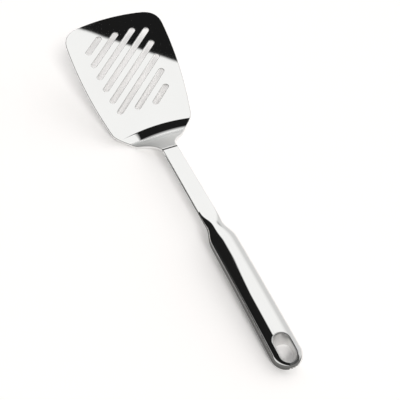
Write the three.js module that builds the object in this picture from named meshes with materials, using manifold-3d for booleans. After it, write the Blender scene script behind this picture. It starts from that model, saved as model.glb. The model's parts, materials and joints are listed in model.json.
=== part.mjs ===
import * as THREE from "three";
import { mergeVertices } from "three/addons/utils/BufferGeometryUtils.js";
import Module from "manifold-3d";

// Sheet: the blade, neck, shank and tang are one pressing.
const SHEET = 2.0;
const BLADE_WIDTH = 78; // across the widest place
const WIDEST_AT = 25; // from the front edge
const FLAT_LENGTH = 109.6; // from the front edge to the neck bend
const HEEL_WIDTH = 60.8; // at the end of the flat
const FRONT_RADIUS = 130; // of the shallow front edge
const CORNER = 13; // tangent length of the front corners

// Slots run at 45 degrees, all with the same width and pitch.
const SLOT_COUNT = 8;
const SLOT_WIDTH = 4.3;
const SLOT_PITCH = 13.72; // measured along the blade
const FIRST_SLOT = 5.4; // where the first slot's line meets the middle line
const SLOT_INSET = 14.7; // from the blade's side to a slot's end centre
const SLOT_FRONT = 18.8; // end centres nearest the front edge
const SLOT_REAR = 92.3; // end centres nearest the neck

// Neck and shank.
const EASE_RADIUS = 75; // the hollow bend between blade and neck starts gently
const EASE_ANGLE = 11;
const NECK_RADIUS = 8; // and then turns tighter
const NECK_ANGLE = 43.4;
const NECK_LENGTH = 34;
const HEEL_CURVE = 0.004; // the bend line bows back towards the sides, per mm
const CREST_RADIUS = 8; // tight bend between neck and shank
const HANDLE_ANGLE = 21.7; // shank against blade
const SHANK_WIDTH = 10.8;
const SHANK_LENGTH = 74.5;
const TANG_WIDTH = 8;
const TANG_THICKNESS = 1.0;
const TANG_LENGTH = 30; // inside the handle

// Hollow handle of two half shells.
const HANDLE_LENGTH = 134.5;
const HANDLE_WIDTH = 17;
const HANDLE_DEPTH = 10;
const ARCH_RADIUS = 1800; // the handle droops a little along its length
const WALL = 0.8;
const TANG_CLEARANCE = 0.1; // between tang and shells at the mouth
const FLARE_START = 15; // from the mouth, where the handle begins to widen
const FLARE_LENGTH = 18;
const SWELL_LENGTH = 36; // from the mouth, where it reaches its full depth
const END_LENGTH = 9; // length of the round end
const SEAM_GAP = 0.12; // between the half shells, filled by the weld

// Oval hanging hole with its sleeve.
const HOLE_WIDTH = 8.4;
const HOLE_LENGTH = 17.4;
const HOLE_FROM_END = 10.9; // hole centre to handle end
const SLEEVE_WALL = 0.8;
const SLEEVE_CLEARANCE = 0.12;

const wasm = await Module();
wasm.setup();
const rad = THREE.MathUtils.degToRad;
const smooth = (t) => THREE.MathUtils.smoothstep(t, 0, 1);

// Side view of the sheet's upper face: runs of [length, turn in radians].
const crestTurn = rad(HANDLE_ANGLE - NECK_ANGLE);
const runs = [
  [FLAT_LENGTH, 0],
  [EASE_RADIUS * rad(EASE_ANGLE), rad(EASE_ANGLE)],
  [NECK_RADIUS * rad(NECK_ANGLE - EASE_ANGLE), rad(NECK_ANGLE - EASE_ANGLE)],
  [NECK_LENGTH, 0],
  [CREST_RADIUS * Math.abs(crestTurn), crestTurn],
  [SHANK_LENGTH, 0],
  [HANDLE_LENGTH, -HANDLE_LENGTH / ARCH_RADIUS],
];
const starts = [0];
for (const [length] of runs) starts.push(starts.at(-1) + length);
const mouth = starts[6];
const shankStart = starts[5];

// A point of the part: u along the sheet, v across it, w above its upper face.
function at(u, v, w) {
  const bow = HEEL_CURVE * v * v * (1 - smooth((u - starts[3]) / NECK_LENGTH));
  let x = bow, z = 0, angle = 0, left = u - bow;
  runs.forEach(([length, turn], i) => {
    const last = i === runs.length - 1;
    const part = last ? left : Math.min(left, length);
    const bend = turn * (part / length);
    const chord = Math.abs(bend) < 1e-9 ? part : (part * Math.sin(bend / 2)) / (bend / 2);
    x += chord * Math.cos(angle + bend / 2);
    z += chord * Math.sin(angle + bend / 2);
    angle += bend;
    left -= part;
  });
  return new THREE.Vector3(x - w * Math.sin(angle), v, z + w * Math.cos(angle));
}

// A solid through rings of points that turn from +Y to +Z, closed at both ends.
function loft(rings) {
  const count = rings[0].length;
  const points = rings.flat();
  const middle = (ring) =>
    ring.reduce((sum, p) => sum.add(p), new THREE.Vector3()).divideScalar(count);
  points.push(middle(rings[0]), middle(rings.at(-1)));
  const first = points.length - 2, last = points.length - 1;
  const base = (rings.length - 1) * count;
  const index = [];
  for (let j = 0; j < count; j++) {
    const k = (j + 1) % count;
    for (let i = 0; i < rings.length - 1; i++) {
      const a = i * count, b = a + count;
      index.push(a + j, a + k, b + j, b + j, a + k, b + k);
    }
    index.push(first, k, j, last, base + j, base + k);
  }
  const geometry = new THREE.BufferGeometry().setFromPoints(points);
  geometry.setIndex(index);
  return geometry;
}

function solid(geometry) {
  const g = geometry.clone();
  g.deleteAttribute("normal");
  g.deleteAttribute("uv");
  const merged = mergeVertices(g, 1e-4);
  return new wasm.Manifold(
    new wasm.Mesh({
      numProp: 3,
      vertProperties: merged.attributes.position.array,
      triVerts: new Uint32Array(merged.index.array),
    }),
  );
}

// Plan of the flat blade.
const sideFall = (BLADE_WIDTH - HEEL_WIDTH) / 2 / (FLAT_LENGTH - WIDEST_AT) ** 2;
const bladeHalf = (u) => BLADE_WIDTH / 2 - sideFall * (u - WIDEST_AT) ** 2;
const frontAt = (v) => FRONT_RADIUS - Math.sqrt(FRONT_RADIUS ** 2 - v * v);

function bladeShape() {
  const shape = new THREE.Shape();
  const frontHalf = BLADE_WIDTH / 2 - CORNER;
  const sideStart = frontAt(BLADE_WIDTH / 2) + CORNER;
  const tip = frontAt(frontHalf) + (CORNER * frontHalf) / FRONT_RADIUS;
  const steps = 16;
  shape.moveTo(FLAT_LENGTH, -HEEL_WIDTH / 2);
  shape.lineTo(FLAT_LENGTH, HEEL_WIDTH / 2);
  for (let i = 1; i <= steps; i++) {
    const u = FLAT_LENGTH + ((sideStart - FLAT_LENGTH) * i) / steps;
    shape.lineTo(u, bladeHalf(u));
  }
  shape.quadraticCurveTo(tip, bladeHalf(tip), frontAt(frontHalf), frontHalf);
  for (let i = 1; i <= steps; i++) {
    const v = frontHalf - (2 * frontHalf * i) / steps;
    shape.lineTo(frontAt(v), v);
  }
  shape.quadraticCurveTo(tip, -bladeHalf(tip), sideStart, -bladeHalf(sideStart));
  for (let i = steps - 1; i >= 1; i--) {
    const u = FLAT_LENGTH + ((sideStart - FLAT_LENGTH) * i) / steps;
    shape.lineTo(u, -bladeHalf(u));
  }
  for (let i = 0; i < SLOT_COUNT; i++) {
    const sum = FIRST_SLOT + SLOT_PITCH * i;
    let low = 0, high = 0;
    for (let k = 0; k < 40; k++) {
      low = SLOT_INSET - bladeHalf(sum - low);
      high = bladeHalf(sum - high) - SLOT_INSET;
    }
    low = Math.max(low, sum - SLOT_REAR);
    high = Math.min(high, sum - SLOT_FRONT);
    const slot = new THREE.Path();
    const r = SLOT_WIDTH / 2;
    slot.absarc(sum - high, high, r, Math.PI / 4, (5 * Math.PI) / 4, false);
    slot.absarc(sum - low, low, r, (5 * Math.PI) / 4, (9 * Math.PI) / 4, false);
    slot.closePath();
    shape.holes.push(slot);
  }
  return shape;
}

// Rectangle ring of the sheet at u, from its upper face down.
function ring(u, half, top, thickness, spans = 1) {
  const row = (w) =>
    Array.from({ length: spans + 1 }, (_, i) => at(u, half - (2 * half * i) / spans, w));
  return [...row(top), ...row(top - thickness).reverse()];
}

function bladeSolid() {
  const flat = new THREE.ExtrudeGeometry(bladeShape(), {
    depth: SHEET, bevelEnabled: false, curveSegments: 10,
  });
  flat.translate(0, 0, -SHEET);
  const slope = 2 * sideFall * (FLAT_LENGTH - WIDEST_AT);
  const reach = (shankStart - FLAT_LENGTH) / 4.4;
  const heel = new THREE.CubicBezierCurve(
    new THREE.Vector2(FLAT_LENGTH, HEEL_WIDTH / 2),
    new THREE.Vector2(FLAT_LENGTH + reach, HEEL_WIDTH / 2 - slope * reach),
    new THREE.Vector2(FLAT_LENGTH + 1.4 * reach, SHANK_WIDTH / 2),
    new THREE.Vector2(shankStart, SHANK_WIDTH / 2),
  );
  const overlap = 0.5, spans = 10;
  const rings = [ring(FLAT_LENGTH - overlap, HEEL_WIDTH / 2, 0, SHEET, spans)];
  for (const p of heel.getPoints(48)) rings.push(ring(p.x, p.y, 0, SHEET, spans));
  const end = mouth - TANG_CLEARANCE;
  rings.push(ring(end, SHANK_WIDTH / 2, 0, SHEET, spans));
  const down = (TANG_THICKNESS - SHEET) / 2;
  const tang = [ring(end - 1, TANG_WIDTH / 2, down, TANG_THICKNESS)];
  for (let i = 0; i <= 6; i++)
    tang.push(ring(end + (TANG_LENGTH * i) / 6, TANG_WIDTH / 2, down, TANG_THICKNESS));
  return solid(flat).add(solid(loft(rings))).add(solid(loft(tang)));
}

// Half width and half depth of the handle at s from its mouth, inside by skin.
function handleSize(s, skin) {
  const endLength = END_LENGTH - skin;
  const along = (s - (HANDLE_LENGTH - skin - endLength)) / endLength;
  const round = along > 0 ? Math.sqrt(Math.max(1 - along * along, 0)) : 1;
  const flare = smooth((s - FLARE_START) / FLARE_LENGTH);
  const swell = smooth(s / SWELL_LENGTH);
  const half = SHANK_WIDTH / 2 + (HANDLE_WIDTH / 2 - SHANK_WIDTH / 2) * flare;
  // The shells start flush with the sheet, so their walls are ground thin at the mouth.
  const lip = SHEET / 2 - TANG_THICKNESS / 2 - TANG_CLEARANCE;
  const deep = SHEET / 2 + (HANDLE_DEPTH / 2 - SHEET / 2) * swell;
  const wall = (skin / WALL) * (lip + (WALL - lip) * swell);
  return [(half - skin) * round, (deep - wall) * round, 2.4 + 6 * (1 - swell) ** 8];
}

function handleBody(skin, from) {
  const sides = 40, length = HANDLE_LENGTH - skin;
  const straight = length - (END_LENGTH - skin);
  const stations = [];
  for (let i = 0; i <= 30; i++) stations.push(from + ((straight - from) * i) / 30);
  for (let i = 1; i <= 11; i++)
    stations.push(straight + (END_LENGTH - skin) * Math.sin((i / 11.4) * (Math.PI / 2)));
  const rings = stations.map((s) => {
    const [half, deep, power] = handleSize(Math.max(s, 0), skin);
    return Array.from({ length: sides }, (_, j) => {
      const t = (2 * Math.PI * j) / sides, c = Math.cos(t), d = Math.sin(t);
      const v = Math.sign(c) * Math.abs(c) ** (2 / power) * half;
      const w = Math.sign(d) * Math.abs(d) ** (2 / power) * deep;
      return at(mouth + s, v, w - SHEET / 2);
    });
  });
  return solid(loft(rings));
}

// Oval post through the handle at its hanging hole, larger than the hole by grow.
function holePost(grow) {
  const r = HOLE_WIDTH / 2 + grow, run = (HOLE_LENGTH - HOLE_WIDTH) / 2;
  const centre = mouth + HANDLE_LENGTH - HOLE_FROM_END;
  const shape = new THREE.Shape();
  shape.absarc(run, 0, r, -Math.PI / 2, Math.PI / 2, false);
  shape.absarc(-run, 0, r, Math.PI / 2, (3 * Math.PI) / 2, false);
  const tall = 2 * HANDLE_DEPTH;
  const g = new THREE.ExtrudeGeometry(shape, { depth: tall, bevelEnabled: false, curveSegments: 20 });
  g.translate(0, 0, -tall / 2);
  const p = at(centre, 0, -SHEET / 2), q = at(centre, 0, 1 - SHEET / 2);
  g.rotateY(Math.atan2(q.x - p.x, q.z - p.z));
  g.translate(p.x, p.y, p.z);
  return solid(g);
}

// Everything above (side 1) or below (side -1) the handle's seam surface.
function seamSide(side) {
  const rings = [];
  const reach = HANDLE_WIDTH, edge = (side * SEAM_GAP) / 2 - SHEET / 2;
  for (let i = 0; i <= 40; i++) {
    const u = mouth - 2 + ((HANDLE_LENGTH + 6) * i) / 40;
    const far = edge + side * HANDLE_DEPTH;
    const low = Math.min(edge, far), high = Math.max(edge, far);
    rings.push(ring(u, reach, high, high - low));
  }
  return solid(loft(rings));
}

const outer = handleBody(0, 0);
const hollow = outer.subtract(handleBody(WALL, -1)).subtract(holePost(SLEEVE_WALL + SLEEVE_CLEARANCE));
const pieces = [
  ["turner_blade", bladeSolid(), "#d5d6d8"],
  ["handle_upper_shell", hollow.intersect(seamSide(1)), "#cfd0d2"],
  ["handle_lower_shell", hollow.intersect(seamSide(-1)), "#c8c9cb"],
  ["hang_hole_sleeve", holePost(SLEEVE_WALL).intersect(outer).subtract(holePost(0)), "#bfc1c4"],
];

// Rest pose: the turner lies on the heel of its blade and on its handle's end.
const lowest = (body) => body.boundingBox().min[2];
let flatter = 0, steeper = 60;
for (let i = 0; i < 40; i++) {
  const middle = (flatter + steeper) / 2;
  const lift = (k) => lowest(pieces[k][1].rotate([0, middle, 0]));
  if (Math.min(lift(2), lift(3)) > lift(0)) flatter = middle;
  else steeper = middle;
}
const whole = pieces.map(([, body]) => body.rotate([0, flatter, 0]).boundingBox());
const low = Math.min(...whole.map((b) => b.min[2]));
const middleX =
  (Math.min(...whole.map((b) => b.min[0])) + Math.max(...whole.map((b) => b.max[0]))) / 2;

const turner = new THREE.Group();
turner.name = "kitchen_turner";
for (const [name, body, color] of pieces) {
  const placed = body.rotate([0, flatter, 0]).translate([-middleX, 0, -low]);
  const mesh = placed.getMesh();
  const geometry = new THREE.BufferGeometry();
  geometry.setAttribute("position", new THREE.BufferAttribute(mesh.vertProperties, 3));
  geometry.setIndex(new THREE.BufferAttribute(mesh.triVerts, 1));
  geometry.computeVertexNormals();
  const steel = new THREE.MeshStandardMaterial({ color, metalness: 1, roughness: 0.12 });
  const node = new THREE.Mesh(geometry, steel);
  node.name = name;
  turner.add(node);
}

export default turner;
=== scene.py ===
import json
import math

import bmesh
import bpy
from mathutils import Matrix, Vector


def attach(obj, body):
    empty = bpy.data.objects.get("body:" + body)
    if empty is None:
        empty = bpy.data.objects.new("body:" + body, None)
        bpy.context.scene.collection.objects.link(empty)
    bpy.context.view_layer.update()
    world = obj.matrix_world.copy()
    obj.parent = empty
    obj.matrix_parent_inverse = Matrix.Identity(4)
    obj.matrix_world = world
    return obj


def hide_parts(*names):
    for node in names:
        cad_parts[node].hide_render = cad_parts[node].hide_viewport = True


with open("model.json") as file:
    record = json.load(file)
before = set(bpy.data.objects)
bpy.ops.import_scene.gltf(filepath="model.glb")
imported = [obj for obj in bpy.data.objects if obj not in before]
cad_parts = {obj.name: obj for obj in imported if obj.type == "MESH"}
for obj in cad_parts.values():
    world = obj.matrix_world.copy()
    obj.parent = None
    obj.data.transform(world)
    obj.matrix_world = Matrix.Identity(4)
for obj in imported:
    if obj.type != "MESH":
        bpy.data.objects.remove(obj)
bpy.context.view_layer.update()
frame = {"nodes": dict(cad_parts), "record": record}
scene = bpy.context.scene
MM = 0.001

# Sizes of the CAD part, in millimetres. The handle is 0.1 shorter here, so that its smooth end
# stays inside the CAD box, and the hole is 0.1 nearer to that end, so that it keeps its place.
SHEET, BLADE_WIDTH, WIDEST_AT, FLAT_LENGTH, HEEL_WIDTH = 2.0, 78.0, 25.0, 109.6, 60.8
FRONT_RADIUS, CORNER = 130.0, 13.0
SLOT_COUNT, SLOT_WIDTH, SLOT_PITCH, FIRST_SLOT = 8, 4.3, 13.72, 5.4
SLOT_INSET, SLOT_FRONT, SLOT_REAR = 14.7, 18.8, 92.3
EASE_RADIUS, EASE_ANGLE, HEEL_CURVE = 75.0, 11.0, 0.004
NECK_RADIUS, NECK_ANGLE, NECK_LENGTH, CREST_RADIUS, HANDLE_ANGLE = 8.0, 43.4, 34.0, 8.0, 21.7
HEEL_REACH, HEEL_PULL = 4.4, 1.4
SHANK_WIDTH, SHANK_LENGTH = 10.8, 74.5
TANG_WIDTH, TANG_THICKNESS, TANG_LENGTH = 8.0, 1.0, 30.0
HANDLE_LENGTH, HANDLE_WIDTH, HANDLE_DEPTH, ARCH_RADIUS, WALL = 134.4, 17.0, 10.0, 1800.0, 0.8
FLARE_START, FLARE_LENGTH, SWELL_LENGTH, END_LENGTH = 15.0, 18.0, 36.0, 9.0
CROWN_POWER, MOUTH_POWER, MOUTH_FADE = 2.4, 6.0, 8
SEAM_GAP, HOLE_WIDTH, HOLE_LENGTH, HOLE_FROM_END = 0.12, 8.4, 17.4, 10.8
SLEEVE_WALL = 0.8
MOUNT_FROM_FRONT = 9.0

# Only in the scene: rounding of the sheet's edges, how far the sheet's full width runs on under
# the shells, and how far behind that the tang has its own thickness.
EDGE, UNDER_LIP, TANG_STEP = 0.4, 0.6, 0.2

# Rest pose, read from the blade's underside mount: tilt of the blade and place of its front edge.
mount = next(m for m in frame["record"]["mounts"] if m["name"] == "blade_underside")
TILT = math.asin(-mount["axis"][0])


def tilted(p):
    c, s = math.cos(TILT), math.sin(TILT)
    return Vector((p[0] * c + p[2] * s, p[1], -p[0] * s + p[2] * c))


SHIFT = Vector(mount["pos_m"]) / MM - tilted((MOUNT_FROM_FRONT, 0.0, -SHEET))


def rest(p):
    """A point of the blade's own frame, in millimetres, as a point of the row frame in metres."""
    return (tilted(p) + SHIFT) * MM


# The sheet's middle line as runs of a length and a turn, from the front edge to the handle's end.
ease, neck_turn = math.radians(EASE_ANGLE), math.radians(NECK_ANGLE - EASE_ANGLE)
crest_turn = math.radians(HANDLE_ANGLE - NECK_ANGLE)
RUNS = [
    (FLAT_LENGTH, 0.0),
    (EASE_RADIUS * ease, ease),
    (NECK_RADIUS * neck_turn, neck_turn),
    (NECK_LENGTH, 0.0),
    (CREST_RADIUS * abs(crest_turn), crest_turn),
    (SHANK_LENGTH, 0.0),
    (HANDLE_LENGTH, -HANDLE_LENGTH / ARCH_RADIUS),
]
STARTS = [sum(r[0] for r in RUNS[:i]) for i in range(len(RUNS) + 1)]
NECK_AT, SLOPE_AT, CREST_AT, SHANK_AT, MOUTH = STARTS[2:7]


def smooth(t):
    t = min(max(t, 0.0), 1.0)
    return t * t * (3 - 2 * t)


def at(u, v, w):
    """u along the sheet, v across it, w above its upper face."""
    bow = HEEL_CURVE * v * v * (1 - smooth((u - SLOPE_AT) / NECK_LENGTH))
    x, z, angle, left = bow, 0.0, 0.0, u - bow
    for i, (length, turn) in enumerate(RUNS):
        part = left if i == len(RUNS) - 1 else min(left, length)
        bend = turn * part / length
        chord = part if abs(bend) < 1e-9 else part * math.sin(bend / 2) / (bend / 2)
        x += chord * math.cos(angle + bend / 2)
        z += chord * math.sin(angle + bend / 2)
        angle += bend
        left -= part
    return rest((x - w * math.sin(angle), v, z + w * math.cos(angle)))


def add_object(name, data):
    obj = bpy.data.objects.new(name, data)
    scene.collection.objects.link(obj)
    return obj


def shade_smooth(mesh):
    for p in mesh.polygons:
        p.use_smooth = True


def mesh_object(name, verts, faces):
    mesh = bpy.data.meshes.new(name)
    mesh.from_pydata(verts, [], faces)
    mesh.validate()
    bm = bmesh.new()
    bm.from_mesh(mesh)
    bmesh.ops.recalc_face_normals(bm, faces=bm.faces)
    bm.to_mesh(mesh)
    bm.free()
    shade_smooth(mesh)
    return add_object(name, mesh)


# Blade: the developed sheet with its slots, edges rounded by polishing, then bent.
FRONT_STEPS, CORNER_STEPS, SIDE_STEPS, HEEL_STEPS, SLOT_END_STEPS = 20, 20, 40, 60, 24
BEND_CUTS = (24, 30, 14, 14, 12)  # cuts across the runs from the first bend to the shank
LENGTHWISE_CUTS, LENGTHWISE_PITCH = 9, 3.2  # cuts on each side of the middle line, behind the flat
side_fall = (BLADE_WIDTH - HEEL_WIDTH) / 2 / (FLAT_LENGTH - WIDEST_AT) ** 2


def blade_half(u):
    return BLADE_WIDTH / 2 - side_fall * (u - WIDEST_AT) ** 2


def front_at(v):
    return FRONT_RADIUS - math.sqrt(FRONT_RADIUS**2 - v * v)


def bezier(points, count):
    n = len(points) - 1
    out = []
    for i in range(count + 1):
        t = i / count
        weights = [math.comb(n, k) * (1 - t) ** (n - k) * t**k for k in range(n + 1)]
        out.append(tuple(sum(w * p[a] for w, p in zip(weights, points)) for a in (0, 1)))
    return out


def sheet_outline():
    """Right half of the developed outline, from the middle of the front edge to the tang's end."""
    front_half = BLADE_WIDTH / 2 - CORNER
    side_start = front_at(BLADE_WIDTH / 2) + CORNER
    tip = front_at(front_half) + CORNER * front_half / FRONT_RADIUS
    across = [front_half * i / FRONT_STEPS for i in range(FRONT_STEPS)]
    pts = [(front_at(v), v) for v in across]
    corner = [(front_at(front_half), front_half)]
    corner += [(u, blade_half(u)) for u in (tip, side_start)]
    pts += bezier(corner, CORNER_STEPS)
    for i in range(1, SIDE_STEPS):
        u = side_start + (FLAT_LENGTH - side_start) * i / SIDE_STEPS
        pts.append((u, blade_half(u)))
    slope = 2 * side_fall * (FLAT_LENGTH - WIDEST_AT)
    reach = (SHANK_AT - FLAT_LENGTH) / HEEL_REACH
    heel = [
        (FLAT_LENGTH, HEEL_WIDTH / 2),
        (FLAT_LENGTH + reach, HEEL_WIDTH / 2 - slope * reach),
        (FLAT_LENGTH + HEEL_PULL * reach, SHANK_WIDTH / 2),
        (SHANK_AT, SHANK_WIDTH / 2),
    ]
    pts += bezier(heel, HEEL_STEPS)
    end = MOUTH + UNDER_LIP
    pts += [(end, SHANK_WIDTH / 2), (end, TANG_WIDTH / 2)]
    pts.append((MOUTH + TANG_LENGTH, TANG_WIDTH / 2))
    return pts


def slot_outlines():
    """Slots at 45 degrees, where u + v is the same all along a slot's middle line."""
    out = []
    r = SLOT_WIDTH / 2
    for i in range(SLOT_COUNT):
        total = FIRST_SLOT + SLOT_PITCH * i
        low = high = 0.0
        for _ in range(40):  # settles where the slot ends at the inset from the blade's sides
            low = SLOT_INSET - blade_half(total - low)
            high = blade_half(total - high) - SLOT_INSET
        low = max(low, total - SLOT_REAR)
        high = min(high, total - SLOT_FRONT)
        pts = []
        for v, first in ((high, math.pi / 4), (low, 5 * math.pi / 4)):
            for k in range(SLOT_END_STEPS + 1):
                a = first + math.pi * k / SLOT_END_STEPS
                pts.append((total - v + r * math.cos(a), v + r * math.sin(a)))
        out.append(pts)
    return out


def cut(bm, faces, place, normal):
    faces = list(faces)
    geom = {v for f in faces for v in f.verts} | {e for f in faces for e in f.edges}
    bmesh.ops.bisect_plane(bm, geom=list(geom) + faces, plane_co=place, plane_no=normal)


def bent(p, n):
    """A normal of the flat sheet, turned as the sheet is bent there."""
    h = 0.05
    u, v, w = p.x, p.y, p.z - SHEET / 2
    along = at(u + h, v, w) - at(u - h, v, w)
    across = at(u, v + h, w) - at(u, v - h, w)
    above = at(u, v, w + h) - at(u, v, w - h)
    turned = across.cross(above) * n.x + above.cross(along) * n.y + along.cross(across) * n.z
    return turned.normalized()


def flat_sheet():
    """The developed sheet as a mesh, half of it above z = 0, with all its edges rounded."""
    half = sheet_outline()
    outline = half + [(u, -v) for u, v in reversed(half) if v > 1e-6]
    curve = bpy.data.curves.new("blade_outline", "CURVE")
    curve.dimensions = "2D"
    curve.fill_mode = "BOTH"
    curve.extrude = SHEET / 2 - EDGE
    curve.bevel_depth = EDGE
    curve.bevel_resolution = 3
    curve.offset = -EDGE
    for pts in [outline] + slot_outlines():
        spline = curve.splines.new("POLY")
        spline.points.add(len(pts) - 1)
        for p, (u, v) in zip(spline.points, pts):
            p.co = (u, v, 0, 1)
        spline.use_cyclic_u = True
    helper = add_object("blade_outline", curve)
    bpy.context.view_layer.update()
    evaluated = helper.evaluated_get(bpy.context.evaluated_depsgraph_get())
    mesh = bpy.data.meshes.new_from_object(evaluated)
    bpy.data.objects.remove(helper)
    return mesh


def build_blade():
    mesh = flat_sheet()
    bm = bmesh.new()
    bm.from_mesh(mesh)
    bmesh.ops.remove_doubles(bm, verts=bm.verts, dist=1e-3)
    for run, count in enumerate(BEND_CUTS, start=1):
        for i in range(count):
            u = STARTS[run] + (STARTS[run + 1] - STARTS[run]) * i / count
            cut(bm, bm.faces, (u, 0, 0), (1, 0, 0))
    for i in range(-LENGTHWISE_CUTS, LENGTHWISE_CUTS + 1):
        behind_flat = [f for f in bm.faces if f.calc_center_median().x > FLAT_LENGTH]
        cut(bm, behind_flat, (0, LENGTHWISE_PITCH * i, 0), (0, 1, 0))
    # Polished edges: the faces stay flat up to the small radius round every edge.
    bm.normal_update()
    normals = []
    for v in bm.verts:
        if abs(v.co.z) > SHEET / 2 - 1e-3:
            n = Vector((0, 0, math.copysign(1, v.co.z)))
        else:
            n = sum((f.normal for f in v.link_faces if abs(f.normal.z) < 0.999), Vector())
        normals.append(bent(v.co, n))
    for v in bm.verts:
        u, across, w = v.co.x, v.co.y, v.co.z - SHEET / 2
        if u > MOUTH + UNDER_LIP + TANG_STEP:
            w = -SHEET / 2 + (w + SHEET / 2) * TANG_THICKNESS / SHEET
        v.co = at(u, across, w)
    bmesh.ops.recalc_face_normals(bm, faces=bm.faces)
    bm.to_mesh(mesh)
    bm.free()
    shade_smooth(mesh)
    mesh.normals_split_custom_set_from_vertices(normals)
    mesh.materials.clear()
    return add_object("turner_blade_sheet", mesh)


# Handle: two half shells with a fine grid, opened round the hanging hole.
HOLE_AT = HANDLE_LENGTH - HOLE_FROM_END
HOLE_RUN = (HOLE_LENGTH - HOLE_WIDTH) / 2
SHELL_SIDES, SHELL_ROWS, END_ROWS = 96, 60, 40
COARSE, FINE = 0.84, 0.16  # shares of the straight part with wide rows and with close rows
RIM_GAP = 0.02  # between the shells' holes and the outside of the sleeve
RIM_INSIDE, RIM_OUTSIDE, RIM_LOWEST = -0.6, 1.2, 0.5  # grid points that are drawn to the hole's rim


def handle_size(s):
    """Half width, half depth and roundness of the handle's section, s behind the mouth."""
    along = (s - (HANDLE_LENGTH - END_LENGTH)) / END_LENGTH
    round_end = math.sqrt(max(1 - along * along, 0)) if along > 0 else 1.0
    flare = smooth((s - FLARE_START) / FLARE_LENGTH)
    swell = smooth(s / SWELL_LENGTH)
    half = SHANK_WIDTH / 2 + (HANDLE_WIDTH - SHANK_WIDTH) / 2 * flare
    deep = SHEET / 2 + (HANDLE_DEPTH / 2 - SHEET / 2) * swell
    power = CROWN_POWER + MOUTH_POWER * (1 - swell) ** MOUTH_FADE
    return half * round_end, deep * round_end, power


def crown(s, v):
    half, deep, power = handle_size(s)
    t = min(abs(v) / max(half, 1e-6), 1.0)
    return deep * max(1 - t**power, 0.0) ** (1 / power)


def hole_distance(s, v):
    """How far a place is outside the hole's inner outline."""
    ds = max(abs(s - HOLE_AT) - HOLE_RUN, 0.0)
    return math.hypot(ds, v) - HOLE_WIDTH / 2


def shell_plan():
    """Rows of points (s, v, w) over half of the handle, w away from its middle plane."""
    straight = HANDLE_LENGTH - END_LENGTH
    stations = [straight * (i / SHELL_ROWS) * COARSE for i in range(SHELL_ROWS)]
    stations += [straight * (COARSE + FINE * i / SHELL_ROWS) for i in range(SHELL_ROWS)]
    quarter = [i / END_ROWS * math.pi / 2 for i in range(END_ROWS + 1)]
    stations += [straight + END_LENGTH * math.sin(a) for a in quarter]
    plan = []
    for s in stations:
        half, deep, power = handle_size(s)
        row = []
        for j in range(SHELL_SIDES + 1):
            t = math.pi * j / SHELL_SIDES
            c, d = math.cos(t), math.sin(t)
            v = math.copysign(abs(c) ** (2 / power), c) * half
            row.append((s, v, abs(d) ** (2 / power) * deep))
        plan.append(row)
    return plan


def draw_to_hole(points, faces, reach):
    """Moves the grid's border round the hole onto an even oval."""
    border = {}
    for f in faces:
        for a, b in zip(f, f[1:] + f[:1]):
            key = (min(a, b), max(a, b))
            border[key] = border.get(key, 0) + 1
    for k in {k for key, n in border.items() if n == 1 for k in key}:
        s, v, w = points[k]
        if RIM_INSIDE < hole_distance(s, v) - reach < RIM_OUTSIDE and w > RIM_LOWEST:
            near = min(max(s, HOLE_AT - HOLE_RUN), HOLE_AT + HOLE_RUN)
            out = Vector((s - near, v)).normalized() * (HOLE_WIDTH / 2 + reach)
            s, v = near + out.x, out.y
            points[k] = [s, v, crown(s, v)]


def build_shell(name, side):
    reach = SLEEVE_WALL + RIM_GAP
    plan = shell_plan()
    keep, points, faces = {}, [], []

    def vertex(i, j):
        if (i, j) not in keep:
            keep[i, j] = len(points)
            points.append(list(plan[i][j]))
        return keep[i, j]

    for i in range(len(plan) - 1):
        for j in range(SHELL_SIDES):
            corners = [(i, j), (i, j + 1), (i + 1, j + 1), (i + 1, j)]
            s, v = (sum(plan[a][b][axis] for a, b in corners) / 4 for axis in (0, 1))
            if hole_distance(s, v) >= reach:
                faces.append([vertex(a, b) for a, b in corners])
    draw_to_hole(points, faces, reach)
    lift = SEAM_GAP / 2
    verts = [at(MOUTH + s, v, -SHEET / 2 + side * max(w, lift)) for s, v, w in points]
    obj = mesh_object(name, verts, faces)
    bm = bmesh.new()
    bm.from_mesh(obj.data)
    bmesh.ops.remove_doubles(bm, verts=bm.verts, dist=1e-7)
    # Normals out: the face farthest from the handle's middle plane must face away from it.
    face = max(bm.faces, key=lambda f: side * f.calc_center_median().z)
    if face.normal.z * side < 0:
        bmesh.ops.reverse_faces(bm, faces=bm.faces)
    for e in bm.edges:
        e.smooth = not e.is_boundary
    bm.to_mesh(obj.data)
    bm.free()
    shade_smooth(obj.data)
    wall = obj.modifiers.new("wall", "SOLIDIFY")
    wall.thickness = WALL * MM
    wall.offset = -1
    wall.use_even_offset = False
    return obj


# Sleeve: an oval tube through both shells, with rounded lips.
SLEEVE_STEPS, LIP_STEPS, WALL_STEPS, SHARP_ANGLE = 120, 8, 8, 60


def oval():
    """Points (s, v) round the hole's wall, with the direction out of it."""
    r = HOLE_WIDTH / 2
    straight, arc = 2 * HOLE_RUN, math.pi * r
    loop = []
    for i in range(SLEEVE_STEPS):
        d = 2 * (straight + arc) * i / SLEEVE_STEPS
        side = 1 if d < straight + arc else -1
        d -= 0 if side > 0 else straight + arc
        if d < straight:
            loop.append((side * (d - HOLE_RUN), side * r, 0.0, side))
        else:
            a = side * math.pi / 2 - (d - straight) / r
            c, n = math.cos(a), math.sin(a)
            loop.append((side * HOLE_RUN + r * c, r * n, c, n))
    return loop


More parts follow.
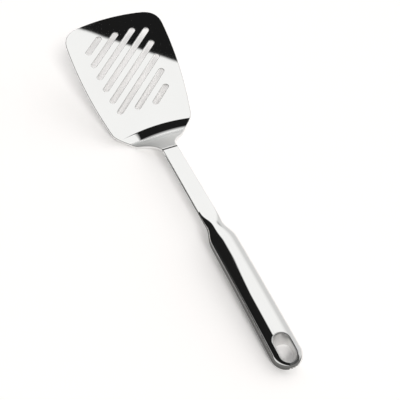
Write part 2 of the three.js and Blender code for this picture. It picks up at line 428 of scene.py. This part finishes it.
def build_sleeve():
    verts, faces, rows = [], [], []
    for s, v, ns, nv in oval():
        top = crown(HOLE_AT + s + ns * SLEEVE_WALL, v + nv * SLEEVE_WALL)
        lip = []
        for k in range(LIP_STEPS + 1):
            a = math.pi / 2 * k / LIP_STEPS
            drop = SLEEVE_WALL * (1 - math.cos(a))
            lip.append((SLEEVE_WALL - SLEEVE_WALL * math.sin(a), top - drop))
        edge = top - SLEEVE_WALL
        wall = [(0.0, edge - 2 * edge * k / WALL_STEPS) for k in range(1, WALL_STEPS)]
        row = []
        for off, w in lip + wall + [(off, -w) for off, w in reversed(lip)]:
            row.append(len(verts))
            verts.append(at(MOUTH + HOLE_AT + s + ns * off, v + nv * off, -SHEET / 2 + w))
        rows.append(row)
    for a, b in zip(rows, rows[1:] + rows[:1]):
        for k in range(len(a)):
            m = (k + 1) % len(a)
            faces.append([a[k], b[k], b[m], a[m]])
    obj = mesh_object("hang_hole_oval", verts, faces)
    obj.data.set_sharp_from_angle(angle=math.radians(SHARP_ANGLE))
    return obj


# Node helpers for materials and world.
def node(tree, kind, **inputs):
    n = tree.nodes.new(kind)
    for k, v in inputs.items():
        n.inputs[k.replace("_", " ")].default_value = v
    return n


def math_node(tree, op, *values, clamp=False):
    n = tree.nodes.new("ShaderNodeMath")
    n.operation = op
    n.use_clamp = clamp
    for socket, value in zip(n.inputs, values):
        if isinstance(value, (int, float)):
            socket.default_value = value
        else:
            tree.links.new(value, socket)
    return n.outputs[0]


def map_range(tree, value, low, high, kind="LINEAR"):
    """0 at low and 1 at high, which may be the smaller one."""
    n = node(tree, "ShaderNodeMapRange", From_Min=low, From_Max=high)
    n.interpolation_type = kind
    tree.links.new(value, n.inputs["Value"])
    return n.outputs["Result"]


def noise(tree, vector, **inputs):
    n = node(tree, "ShaderNodeTexNoise", **inputs)
    tree.links.new(vector, n.inputs["Vector"])
    return n.outputs["Fac"]


# Materials: polished steel. The blade also has a duller neck, and a dark line painted into its
# colour at the crest: a painted dark reflection of the bend.
STEEL = (0.86, 0.86, 0.85)
HAZE_TONE, HAZE_ROUGH = 0.985, (0.7, 1.5)
DULL_ROUGH = 0.4
# Tint of the painted dark reflection at the crest, and how far from the crest it is gone and how
# far it is full.
PAINTED_REFLECTION_TINT, PAINTED_REFLECTION_OUTER, PAINTED_REFLECTION_INNER = (0.04, 0.04, 0.038, 1), 0.0013, 0.0008
WAVE_HEIGHT, GRAIN_HEIGHT = 0.001, 0.00005


def polished(name, rough, grain, wave, dull=None, painted_reflection_x=None):
    """dull: four x places where the dull band rises and falls; the last argument: x place of the
    painted dark reflection line.
    """
    mat = bpy.data.materials.new(name)
    mat.use_nodes = True
    tree = mat.node_tree
    link = tree.links.new
    shader = tree.nodes["Principled BSDF"]
    shader.inputs["Metallic"].default_value = 1.0
    place = tree.nodes.new("ShaderNodeTexCoord").outputs["Object"]
    if dull or painted_reflection_x:
        split = tree.nodes.new("ShaderNodeSeparateXYZ")
        link(place, split.inputs["Vector"])
        x = split.outputs["X"]
    haze = noise(tree, place, Scale=45.0, Detail=3.0, Roughness=0.5)

    low, high = (rough * share for share in HAZE_ROUGH)
    blend = node(tree, "ShaderNodeMapRange", To_Min=low, To_Max=high)
    link(haze, blend.inputs["Value"])
    roughness = blend.outputs["Result"]
    if dull:
        rise = map_range(tree, x, dull[0], dull[1], "SMOOTHSTEP")
        fall = map_range(tree, x, dull[3], dull[2], "SMOOTHSTEP")
        band = math_node(tree, "MULTIPLY", rise, fall)
        roughness = math_node(tree, "MULTIPLY_ADD", band, DULL_ROUGH, roughness)
    link(roughness, shader.inputs["Roughness"])

    tone = tree.nodes.new("ShaderNodeValToRGB")
    first, last = tone.color_ramp.elements
    first.position, last.position = 0.3, 0.7
    first.color = (*[c * HAZE_TONE for c in STEEL], 1)
    last.color = (*STEEL, 1)
    link(haze, tone.inputs["Fac"])
    colour = tone.outputs["Color"]
    # Painted reflection: a dark line painted into the base colour along the crest.
    if painted_reflection_x:
        off = math_node(tree, "ABSOLUTE", math_node(tree, "SUBTRACT", x, painted_reflection_x))
        painted_reflection = tree.nodes.new("ShaderNodeMix")
        painted_reflection.data_type = "RGBA"
        painted_reflection.inputs["B"].default_value = PAINTED_REFLECTION_TINT
        link(map_range(tree, off, PAINTED_REFLECTION_OUTER, PAINTED_REFLECTION_INNER), painted_reflection.inputs["Factor"])
        link(colour, painted_reflection.inputs["A"])
        colour = painted_reflection.outputs["Result"]
    link(colour, shader.inputs["Base Color"])

    stretch = tree.nodes.new("ShaderNodeMapping")
    stretch.inputs["Scale"].default_value = (60, 900, 900)
    link(place, stretch.inputs["Vector"])
    lines = noise(tree, stretch.outputs["Vector"], Scale=1.0, Detail=4.0, Roughness=0.6)
    soft = noise(tree, place, Scale=55.0, Detail=1.0, Roughness=0.3)
    rolled = node(tree, "ShaderNodeBump", Strength=wave, Distance=WAVE_HEIGHT)
    link(soft, rolled.inputs["Height"])
    fine = node(tree, "ShaderNodeBump", Strength=grain, Distance=GRAIN_HEIGHT)
    link(lines, fine.inputs["Height"])
    link(rolled.outputs["Normal"], fine.inputs["Normal"])
    link(fine.outputs["Normal"], shader.inputs["Normal"])
    return mat


neck = [at(u, 0, 0).x for u in (NECK_AT - 2, NECK_AT + 1, CREST_AT - 3, CREST_AT)]
crest = at((CREST_AT + SHANK_AT) / 2, 0, 0).x
blade_steel = polished("blade_steel", 0.015, 0.004, 0.006, neck, crest)
handle_steel = polished("handle_steel", 0.04, 0.02, 0.01)
sleeve_steel = polished("sleeve_steel", 0.35, 0.05, 0.01)

blade = build_blade()
upper = build_shell("handle_upper_half", 1)
lower = build_shell("handle_lower_half", -1)
sleeve = build_sleeve()
for obj, mat, part, slot in (
    (blade, blade_steel, "turner_blade", "blade_steel"),
    (upper, handle_steel, "handle_upper_shell", "handle_steel"),
    (lower, handle_steel, "handle_lower_shell", "handle_steel"),
    (sleeve, sleeve_steel, "hang_hole_sleeve", "sleeve_steel"),
):
    obj.data.materials.append(mat)
    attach(obj, "root")
    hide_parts(part)
    cad = frame["nodes"][part]
    cad.data.materials.clear()
    cad.data.materials.append(mat)

# Floor: plain and pale, with a faint glow. To mirror rays it is dim left of the handle and past it:
# painted shade that only reflections see.
FLOOR_HALF, FLOOR_GLOW = 6.0, 0.1
DIM_LEFT_OF, DIM_PAST, DIM_FROM = -0.002, 0.183, -0.045
corners = [(x * FLOOR_HALF, y * FLOOR_HALF, 0) for x, y in ((-1, -1), (1, -1), (1, 1), (-1, 1))]
floor = mesh_object("floor", corners, [(0, 1, 2, 3)])
paper = bpy.data.materials.new("paper")
paper.use_nodes = True
tree = paper.node_tree
ground = tree.nodes["Principled BSDF"]
ground.inputs["Roughness"].default_value = 0.9
ground.inputs["Specular IOR Level"].default_value = 0.1
ground.inputs["Emission Color"].default_value = (1.0, 0.985, 0.98, 1)
ground.inputs["Emission Strength"].default_value = FLOOR_GLOW
mottle = node(tree, "ShaderNodeTexNoise", Scale=3.0, Detail=2.0)
shade = tree.nodes.new("ShaderNodeValToRGB")
shade.color_ramp.elements[0].color = (0.965, 0.955, 0.95, 1)
shade.color_ramp.elements[1].color = (0.975, 0.965, 0.96, 1)
tree.links.new(mottle.outputs["Fac"], shade.inputs["Fac"])
tree.links.new(shade.outputs["Color"], ground.inputs["Base Color"])
# Painted shade for mirror rays: a dark floor, seen only in reflections, left of the handle and past
# its end.
painted_shade_floor = node(tree, "ShaderNodeBsdfDiffuse", Color=(0.2, 0.2, 0.196, 1))
place = tree.nodes.new("ShaderNodeTexCoord")
xyz = tree.nodes.new("ShaderNodeSeparateXYZ")
tree.links.new(place.outputs["Object"], xyz.inputs["Vector"])
left_side = math_node(tree, "LESS_THAN", xyz.outputs["Y"], DIM_LEFT_OF)
past_end = math_node(tree, "GREATER_THAN", xyz.outputs["X"], DIM_PAST)
behind_heel = math_node(tree, "GREATER_THAN", xyz.outputs["X"], DIM_FROM)
either = math_node(tree, "MAXIMUM", left_side, past_end)
painted_shade_mask = math_node(tree, "MULTIPLY", either, behind_heel)
mirrored = tree.nodes.new("ShaderNodeLightPath").outputs["Is Glossy Ray"]
floor_mix = tree.nodes.new("ShaderNodeMixShader")
tree.links.new(math_node(tree, "MULTIPLY", painted_shade_mask, mirrored), floor_mix.inputs["Fac"])
tree.links.new(ground.outputs["BSDF"], floor_mix.inputs[1])
tree.links.new(painted_shade_floor.outputs["BSDF"], floor_mix.inputs[2])
tree.links.new(floor_mix.outputs["Shader"], tree.nodes["Material Output"].inputs["Surface"])
floor.data.materials.append(paper)

# World: white to the camera, a soft light from the right, and for mirror rays a studio of white
# and dark fields. px and py are where a direction meets a ceiling at a height of 1.
world = bpy.data.worlds.new("studio")
scene.world = world
world.use_nodes = True
tree = world.node_tree
tree.nodes.clear()
direction = tree.nodes.new("ShaderNodeTexCoord")
parts = tree.nodes.new("ShaderNodeSeparateXYZ")
tree.links.new(direction.outputs["Generated"], parts.inputs["Vector"])
toward_x, toward_y, toward_z = (parts.outputs[axis] for axis in "XYZ")


def add(a, b, clamp=False):
    return math_node(tree, "ADD", a, b, clamp=clamp)


def minus(a, b, clamp=False):
    return math_node(tree, "SUBTRACT", a, b, clamp=clamp)


def times(a, b):
    return math_node(tree, "MULTIPLY", a, b)


def smaller(a, b):
    return math_node(tree, "MINIMUM", a, b)


def larger(a, b):
    return math_node(tree, "MAXIMUM", a, b)


def step(value, edge, width):
    """0 below the edge and 1 above it, soft over that width."""
    return add(math_node(tree, "DIVIDE", minus(value, edge), width), 0.5, clamp=True)


def below(value, edge, width):
    return minus(1.0, step(value, edge, width))


high = larger(toward_z, 0.05)
px = math_node(tree, "DIVIDE", toward_x, high)
py = math_node(tree, "DIVIDE", toward_y, high)

# A slanted dark field between two white ones: the blade's dark corner and the band at its heel.
along = minus(times(px, 0.816), times(py, 0.577))
camera_side = times(step(px, 0.35, 0.9), 0.9)
near_white = times(step(along, -0.356, 0.003), minus(1.0, camera_side))
bright = larger(near_white, below(along, -0.585, 0.08))
bright = larger(bright, times(below(py, 0.131, 0.008), below(px, -0.361, 0.004)))

# A dark field on the left, whose edge draws the strip along the handle.
strip = add(py, times(smaller(larger(px, -0.91), -0.76), 1.23))
bright = times(bright, step(strip, -0.926, 0.06))

# Low beyond the blade it is dark, low on the left white again, and the right is a light grey.
low = below(px, -2.5, 0.3)
straight_on = below(add(toward_y, times(toward_x, 0.35)), 0.0, 0.1)
bright = minus(bright, times(low, straight_on), clamp=True)
far_left = times(below(py, -2.6, 1.2), minus(0.8, times(low, 0.8)))
bright = larger(bright, far_left)
bright = times(bright, minus(1.0, times(step(py, 0.9, 0.6), 0.30)))


def background(colour, strength):
    n = node(tree, "ShaderNodeBackground", Color=(*colour, 1))
    if strength is not None:
        tree.links.new(strength, n.inputs["Strength"])
    return n.outputs["Background"]


def choose(ray, otherwise, chosen):
    n = tree.nodes.new("ShaderNodeMixShader")
    for socket, value in zip(n.inputs, (rays.outputs[ray], otherwise, chosen)):
        tree.links.new(value, socket)
    return n.outputs["Shader"]


rays = tree.nodes.new("ShaderNodeLightPath")
mirror_look = background((1.0, 1.0, 0.995), add(times(bright, 1.03), 0.012))
from_right = times(step(toward_y, 0.0, 1.2), 0.95)
open_light = background((1.0, 0.99, 0.98), add(from_right, 0.14))
backdrop = background((1, 1, 1), None)
unseen = choose("Is Glossy Ray", open_light, mirror_look)
out = tree.nodes.new("ShaderNodeOutputWorld")
tree.links.new(choose("Is Camera Ray", unseen, backdrop), out.inputs["Surface"])

# Camera, fitted to the photograph in the blade's own frame.
FOCAL_PIXELS, IMAGE_PIXELS, SENSOR = 900.0, 400.0, 36.0
CAM_AT = (492.149, -101.108, 527.738)
CAM_RIGHT = (0.341069, 0.940038, 0.0)
CAM_UP = (-0.798508, 0.289718, 0.527682)
cam_data = bpy.data.cameras.new("camera")
cam_data.sensor_fit = "HORIZONTAL"
cam_data.sensor_width = SENSOR
cam_data.lens = SENSOR * FOCAL_PIXELS / IMAGE_PIXELS
cam_data.clip_start = 0.01
cam_data.clip_end = 50.0
camera = add_object("camera", cam_data)
scene.camera = camera
right, up = tilted(CAM_RIGHT), tilted(CAM_UP)
turn = Matrix((right, up, right.cross(up))).transposed().to_4x4()
camera.matrix_world = Matrix.Translation(rest(CAM_AT)) @ turn

# Key light: a soft sun from close beside the camera, to its right and a little below it.
KEY_RIGHT, KEY_DOWN, KEY_SOFT = 11, 2, 14
lamp = bpy.data.lights.new("key", "SUN")
lamp.energy = 2.2
lamp.angle = math.radians(KEY_SOFT)
lamp.color = (1.0, 0.985, 0.97)
key = add_object("key", lamp)
aside = right * math.tan(math.radians(KEY_RIGHT)) - up * math.tan(math.radians(KEY_DOWN))
aim = camera.location.normalized() + aside
key.rotation_euler = aim.to_track_quat("Z", "Y").to_euler()
key.visible_glossy = False
scene.view_settings.view_transform = "Standard"
